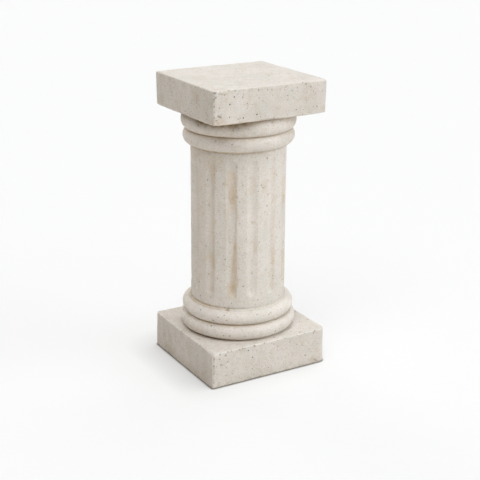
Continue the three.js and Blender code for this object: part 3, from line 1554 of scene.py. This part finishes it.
@dataclass(frozen=True)
class Studio:
    """A pale floor that runs out of sight, under soft light from the right and above."""

    floor_half: float = 25.0
    floor_paint: float = 0.39  # how much light the floor gives back to the camera
    floor_glow: float = 0.54
    floor_shade: float = 0.5  # how much of the glow is lost close under an edge
    shade_reach: float = 0.075
    contact_reach: float = 0.005  # the thin dark line where the stone meets the floor
    shade_towards: tuple[float, float, float] = (0.663, -0.383, 0.643)  # where most light is
    floor_bounce: float = 0.68  # how much light it gives back to the stone
    bounce_colour: str = "fffbf5"
    room_seen: float = 0.982  # how bright the camera sees the room beyond the floor
    lights: tuple[SoftLight, ...] = (
        SoftLight("overhead", 0, 88, 0.95, "fbfcff"),
        SoftLight("left window", -25, 55, 1.0),
        SoftLight("right window", 80, 30, 1.03, "f3f9ff"),
        SoftLight("front window", 45, 30, 0.46, "fbfdff"),
        SoftLight("front fill", 10, 55, 0.3, "f9fcff"),
        SoftLight("right wall", 80, 8, 0.3, "ecf6ff"),
        SoftLight("back window", 150, 55, 0.68, "f4faff"),
        SoftLight("left wall", -150, 8, 1.62, "fffdfa"),
    )

    def floor(self) -> None:
        """Lays the floor: matt paint, a little lit, that gives the stone slightly less light back."""
        bm = bmesh.new()
        bmesh.ops.create_grid(bm, x_segments=1, y_segments=1, size=self.floor_half)
        mesh = bpy.data.meshes.new("floor")
        bm.to_mesh(mesh)
        bm.free()
        floor = bpy.data.objects.new("floor", mesh)
        bpy.context.scene.collection.objects.link(floor)
        material = bpy.data.materials.new("lit_white_floor")
        material.use_nodes = True
        tree = material.node_tree
        tree.nodes.clear()
        white = tuple(self.floor_paint * c for c in linear("fffefb")[:3])
        paint = add_node(tree, "ShaderNodeBsdfDiffuse", inputs={"Color": (*white, 1.0)})
        x, y, z = self.shade_towards
        towards = add_node(tree, "ShaderNodeCombineXYZ", inputs={0: x, 1: y, 2: z})
        open_share = add_node(
            tree,
            "ShaderNodeAmbientOcclusion",
            {"samples": 16},
            {"Distance": self.shade_reach, "Normal": towards.outputs[0]},
        )
        shaded_glow = self.floor_glow * (1 - self.floor_shade)
        strength = remapped(tree, open_share.outputs["AO"], wanted=(shaded_glow, self.floor_glow))
        contact = add_node(
            tree, "ShaderNodeAmbientOcclusion", {"samples": 16}, {"Distance": self.contact_reach}
        )
        darkest = 0.45  # no glow is left where the floor is open by this share or less
        clear = remapped(tree, contact.outputs["AO"], (darkest, 1.0))
        glow = add_node(tree, "ShaderNodeEmission", inputs={"Strength": product(tree, strength, clear)})
        both = add_node(
            tree, "ShaderNodeAddShader", inputs={0: paint.outputs[0], 1: glow.outputs[0]}
        )
        tint = tuple(self.floor_bounce * c for c in linear(self.bounce_colour)[:3])
        dimmer = add_node(tree, "ShaderNodeBsdfDiffuse", inputs={"Color": (*tint, 1.0)})
        path = add_node(tree, "ShaderNodeLightPath")
        floor_look = add_node(
            tree,
            "ShaderNodeMixShader",
            inputs={0: path.outputs["Is Camera Ray"], 1: dimmer.outputs[0], 2: both.outputs[0]},
        )
        add_node(tree, "ShaderNodeOutputMaterial", inputs={"Surface": floor_look.outputs[0]})
        mesh.materials.append(material)

    def room(self) -> None:
        """Lights the stone from below as a white floor does. The room itself is seen as pale."""
        world = bpy.data.worlds.new("room")
        world.use_nodes = True
        tree = world.node_tree
        tree.nodes.clear()
        way = add_node(tree, "ShaderNodeTexCoord")
        parts = add_node(tree, "ShaderNodeSeparateXYZ", inputs={0: way.outputs["Generated"]})
        horizon = (-0.05, 0.02)  # the bounce fades out between these slopes
        below = remapped(tree, parts.outputs["Z"], horizon, (self.floor_bounce, 0.0))
        path = add_node(tree, "ShaderNodeLightPath")
        bounce = add_node(
            tree,
            "ShaderNodeBackground",
            inputs={"Color": linear(self.bounce_colour), "Strength": below},
        )
        seen = add_node(
            tree, "ShaderNodeBackground", inputs={"Color": (1, 1, 1, 1), "Strength": self.room_seen}
        )
        both = add_node(
            tree,
            "ShaderNodeMixShader",
            inputs={0: path.outputs["Is Camera Ray"], 1: bounce.outputs[0], 2: seen.outputs[0]},
        )
        add_node(tree, "ShaderNodeOutputWorld", inputs={"Surface": both.outputs[0]})
        bpy.context.scene.world = world

    def build(self) -> None:
        """Sets up the floor, the lights and how the picture is developed."""
        self.floor()
        self.room()
        for light in self.lights:
            light.build()
        bpy.context.scene.view_settings.view_transform = "Standard"


@dataclass(frozen=True)
class CastStone:
    """Cast stone: white cement and crushed limestone, tamped damp in a mould, aged outdoors.

    The crushed stone gives a matt, sandy face of creams and greys. Small air holes show dark, rain has
    washed brown into the hollows, painted shade darkens the hollows, creases and the line along the
    floor, and rubbed arrises show the paler stone inside.
    """

    cream: str = "e7dfd6"
    grey: str = "dfd8ce"
    warm: str = "dbcebc"
    sand_dark: str = "a4947e"
    pore: str = "6e5f4a"
    wash_and_shade_tint: str = "ecdcc3"
    grime_and_shade_tint: str = "a99f8f"
    dirt_and_shade: str = "857862"
    smudge_tint: str = "dcc9ae"
    fresh: str = "f3eee6"
    roughness: tuple[float, float] = (0.82, 0.95)
    # Sizes in millimetres. Real sand grains are about 0.5 mm and wouldn't show in the render, so
    # the grain and the specks are drawn about four times as coarse.
    cloud_size: float = 55.0
    mottle_size: float = 11.0
    grain_size: float = 2.6
    speck_spacing: float = 5.2
    pore_spacing: float = 10.0

    def build(self) -> bpy.types.Material:
        """Makes the material.

        Returns:
            The material, which reads the mesh's marks "paleness", "coarse", "wash", "smudge",
            "grime", "rubbed" and "dirt".
        """
        material = bpy.data.materials.new("aged_cast_stone")
        material.use_nodes = True
        tree = material.node_tree
        shader = tree.nodes["Principled BSDF"]
        shader.inputs["IOR"].default_value = 1.5
        shader.inputs["Specular IOR Level"].default_value = 0.3
        where = add_node(tree, "ShaderNodeTexCoord").outputs["Object"]
        in_mm = add_node(
            tree, "ShaderNodeMapping", inputs={"Vector": where, "Scale": (1 / MM, 1 / MM, 1 / MM)}
        ).outputs[0]
        noises = {
            name: add_node(
                tree,
                "ShaderNodeTexNoise",
                inputs={"Vector": in_mm, "Scale": 1 / size, "Detail": detail, "Roughness": 0.6},
            ).outputs["Fac"]
            for name, size, detail in (
                ("cloud", self.cloud_size, 3.0),
                ("mottle", self.mottle_size, 5.0),
                ("grain", self.grain_size, 2.0),
            )
        }
        specks = self.dots(tree, in_mm, self.speck_spacing, 0.4, 0.25)
        pores = self.dots(tree, in_mm, self.pore_spacing, 0.45, 0.18)
        colour = self.face_colour(tree, noises)
        coarse = read_mark(tree, "coarse")
        for mask, amount, paint in ((specks, 0.75, self.sand_dark), (pores, 1.0, self.pore)):
            colour = self.painted(tree, colour, product(tree, mask, coarse), amount, paint)
        colour = self.marked(tree, colour)
        tree.links.new(colour, shader.inputs["Base Color"])
        rough = remapped(tree, noises["grain"], wanted=self.roughness)
        tree.links.new(rough, shader.inputs["Roughness"])
        tree.links.new(self.bump(tree, noises, specks, pores), shader.inputs["Normal"])
        return material

    def dots(
        self,
        tree: bpy.types.NodeTree,
        in_mm: bpy.types.NodeSocket,
        spacing: float,
        share_bare: float,
        largest: float,
    ) -> bpy.types.NodeSocket:
        """Scatters small round dots of random size.

        Args:
            tree: the material's nodes.
            in_mm: the place on the stone, in millimetres.
            spacing: about how far apart the dots are, in millimetres.
            share_bare: the share of places that have no dot.
            largest: the largest dot's radius, as a share of the spacing.

        Returns:
            A socket that is 1 in a dot and 0 outside.
        """
        cells = add_node(tree, "ShaderNodeTexVoronoi", inputs={"Vector": in_mm, "Scale": 1 / spacing})
        draw = add_node(tree, "ShaderNodeSeparateColor", inputs={"Color": cells.outputs["Color"]})
        radius = remapped(tree, draw.outputs[0], (share_bare, 1.0), (0.0, largest), held=False)
        inside = add_node(
            tree,
            "ShaderNodeMath",
            {"operation": "SUBTRACT"},
            {0: radius, 1: cells.outputs["Distance"]},
        )
        edge = 0.05
        return remapped(tree, inside.outputs[0], (-edge / 2, edge))

    def painted(
        self,
        tree: bpy.types.NodeTree,
        under: bpy.types.NodeSocket,
        mask: bpy.types.NodeSocket,
        amount: float,
        paint: str,
        blend: str = "MIX",
    ) -> bpy.types.NodeSocket:
        """Lays one colour over another.

        Args:
            tree: the material's nodes.
            under: the colour below.
            mask: where the new colour lies, from 0 to 1.
            amount: how strong it is at most.
            paint: the new colour, as sRGB hex.
            blend: how the two mix.

        Returns:
            The colour socket.
        """
        # The mix node's colours are its inputs 6 and 7, and its output 2
        return add_node(
            tree,
            "ShaderNodeMix",
            {"data_type": "RGBA", "blend_type": blend},
            {0: product(tree, mask, amount), 6: under, 7: linear(paint)},
        ).outputs[2]

    def face_colour(
        self, tree: bpy.types.NodeTree, noises: dict[str, bpy.types.NodeSocket]
    ) -> bpy.types.NodeSocket:
        """The sandy face: cream with grey clouds and warm mottles, and light and dark grains.

        Args:
            tree: the material's nodes.
            noises: the noise of each size.

        Returns:
            The colour socket.
        """
        clouds = remapped(tree, noises["cloud"], (0.38, 0.62))
        base = add_node(
            tree,
            "ShaderNodeMix",
            {"data_type": "RGBA"},
            {0: clouds, 6: linear(self.grey), 7: linear(self.cream)},
        )
        patches = remapped(tree, noises["mottle"], (0.52, 0.72))
        colour = self.painted(tree, base.outputs[2], patches, 0.85, self.warm)
        shade = remapped(tree, noises["grain"], (0.25, 0.75), (0.87, 1.1))
        # Painted light and shade by height scales the face colour, along with the stone's own tone
        both = product(tree, shade, read_mark(tree, "tone_and_painted_light"))
        grains = add_node(
            tree, "ShaderNodeVectorMath", {"operation": "SCALE"}, {0: colour, "Scale": both}
        )
        return grains.outputs[0]

    def marked(
        self, tree: bpy.types.NodeTree, colour: bpy.types.NodeSocket
    ) -> bpy.types.NodeSocket:
        """Lays the rain-washed brown, smudges, grimy and dirty patches with their painted shade, and the
        rubbed arrises over the face.

        Args:
            tree: the material's nodes.
            colour: the face's colour.

        Returns:
            The colour socket.
        """
        for name, amount, paint, blend in (
            ("wash_and_shade", 1.0, self.wash_and_shade_tint, "MULTIPLY"),
            ("smudge", 0.6, self.smudge_tint, "MULTIPLY"),
            ("grime_and_shade", 1.0, self.grime_and_shade_tint, "MULTIPLY"),
            ("rubbed", 0.75, self.fresh, "MIX"),
            ("dirt_and_shade", 0.75, self.dirt_and_shade, "MIX"),
        ):
            colour = self.painted(tree, colour, read_mark(tree, name), amount, paint, blend)
        return colour

    def bump(
        self,
        tree: bpy.types.NodeTree,
        noises: dict[str, bpy.types.NodeSocket],
        specks: bpy.types.NodeSocket,
        pores: bpy.types.NodeSocket,
    ) -> bpy.types.NodeSocket:
        """The fine unevenness: sand grains stand out and holes sink in.

        Args:
            tree: the material's nodes.
            noises: the noise of each size.
            specks: where the small dots are.
            pores: where the larger air holes are.

        Returns:
            The normal socket.
        """
        height = noises["grain"]
        for mask, depth in ((specks, 0.5), (pores, 1.2)):
            height = add_node(
                tree,
                "ShaderNodeMath",
                {"operation": "MULTIPLY_ADD"},
                {0: mask, 1: -depth, 2: height},
            ).outputs[0]
        relief_mm = 0.5
        return add_node(
            tree, "ShaderNodeBump", inputs={"Height": height, "Distance": relief_mm * MM, "Strength": 1.0}
        ).outputs[0]


def main() -> None:
    """Builds the casting, the studio and the camera, in that order."""
    logging.basicConfig(level=logging.INFO, format="%(message)s")
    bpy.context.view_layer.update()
    low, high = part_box("column")
    casting = Casting(height=round(high[2] / MM, 2), foot_width=round((high[0] - low[0]) / MM, 2))
    body = casting.build()
    body.data.materials.clear()
    body.data.materials.append(CastStone().build())
    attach(body, "root")
    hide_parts("column")
    LOG.info("column_casting: %d faces", len(body.data.polygons))
    Studio().build()
    PhotoCamera().build(high[2] / 2)


if __name__ == "__main__":
    main()
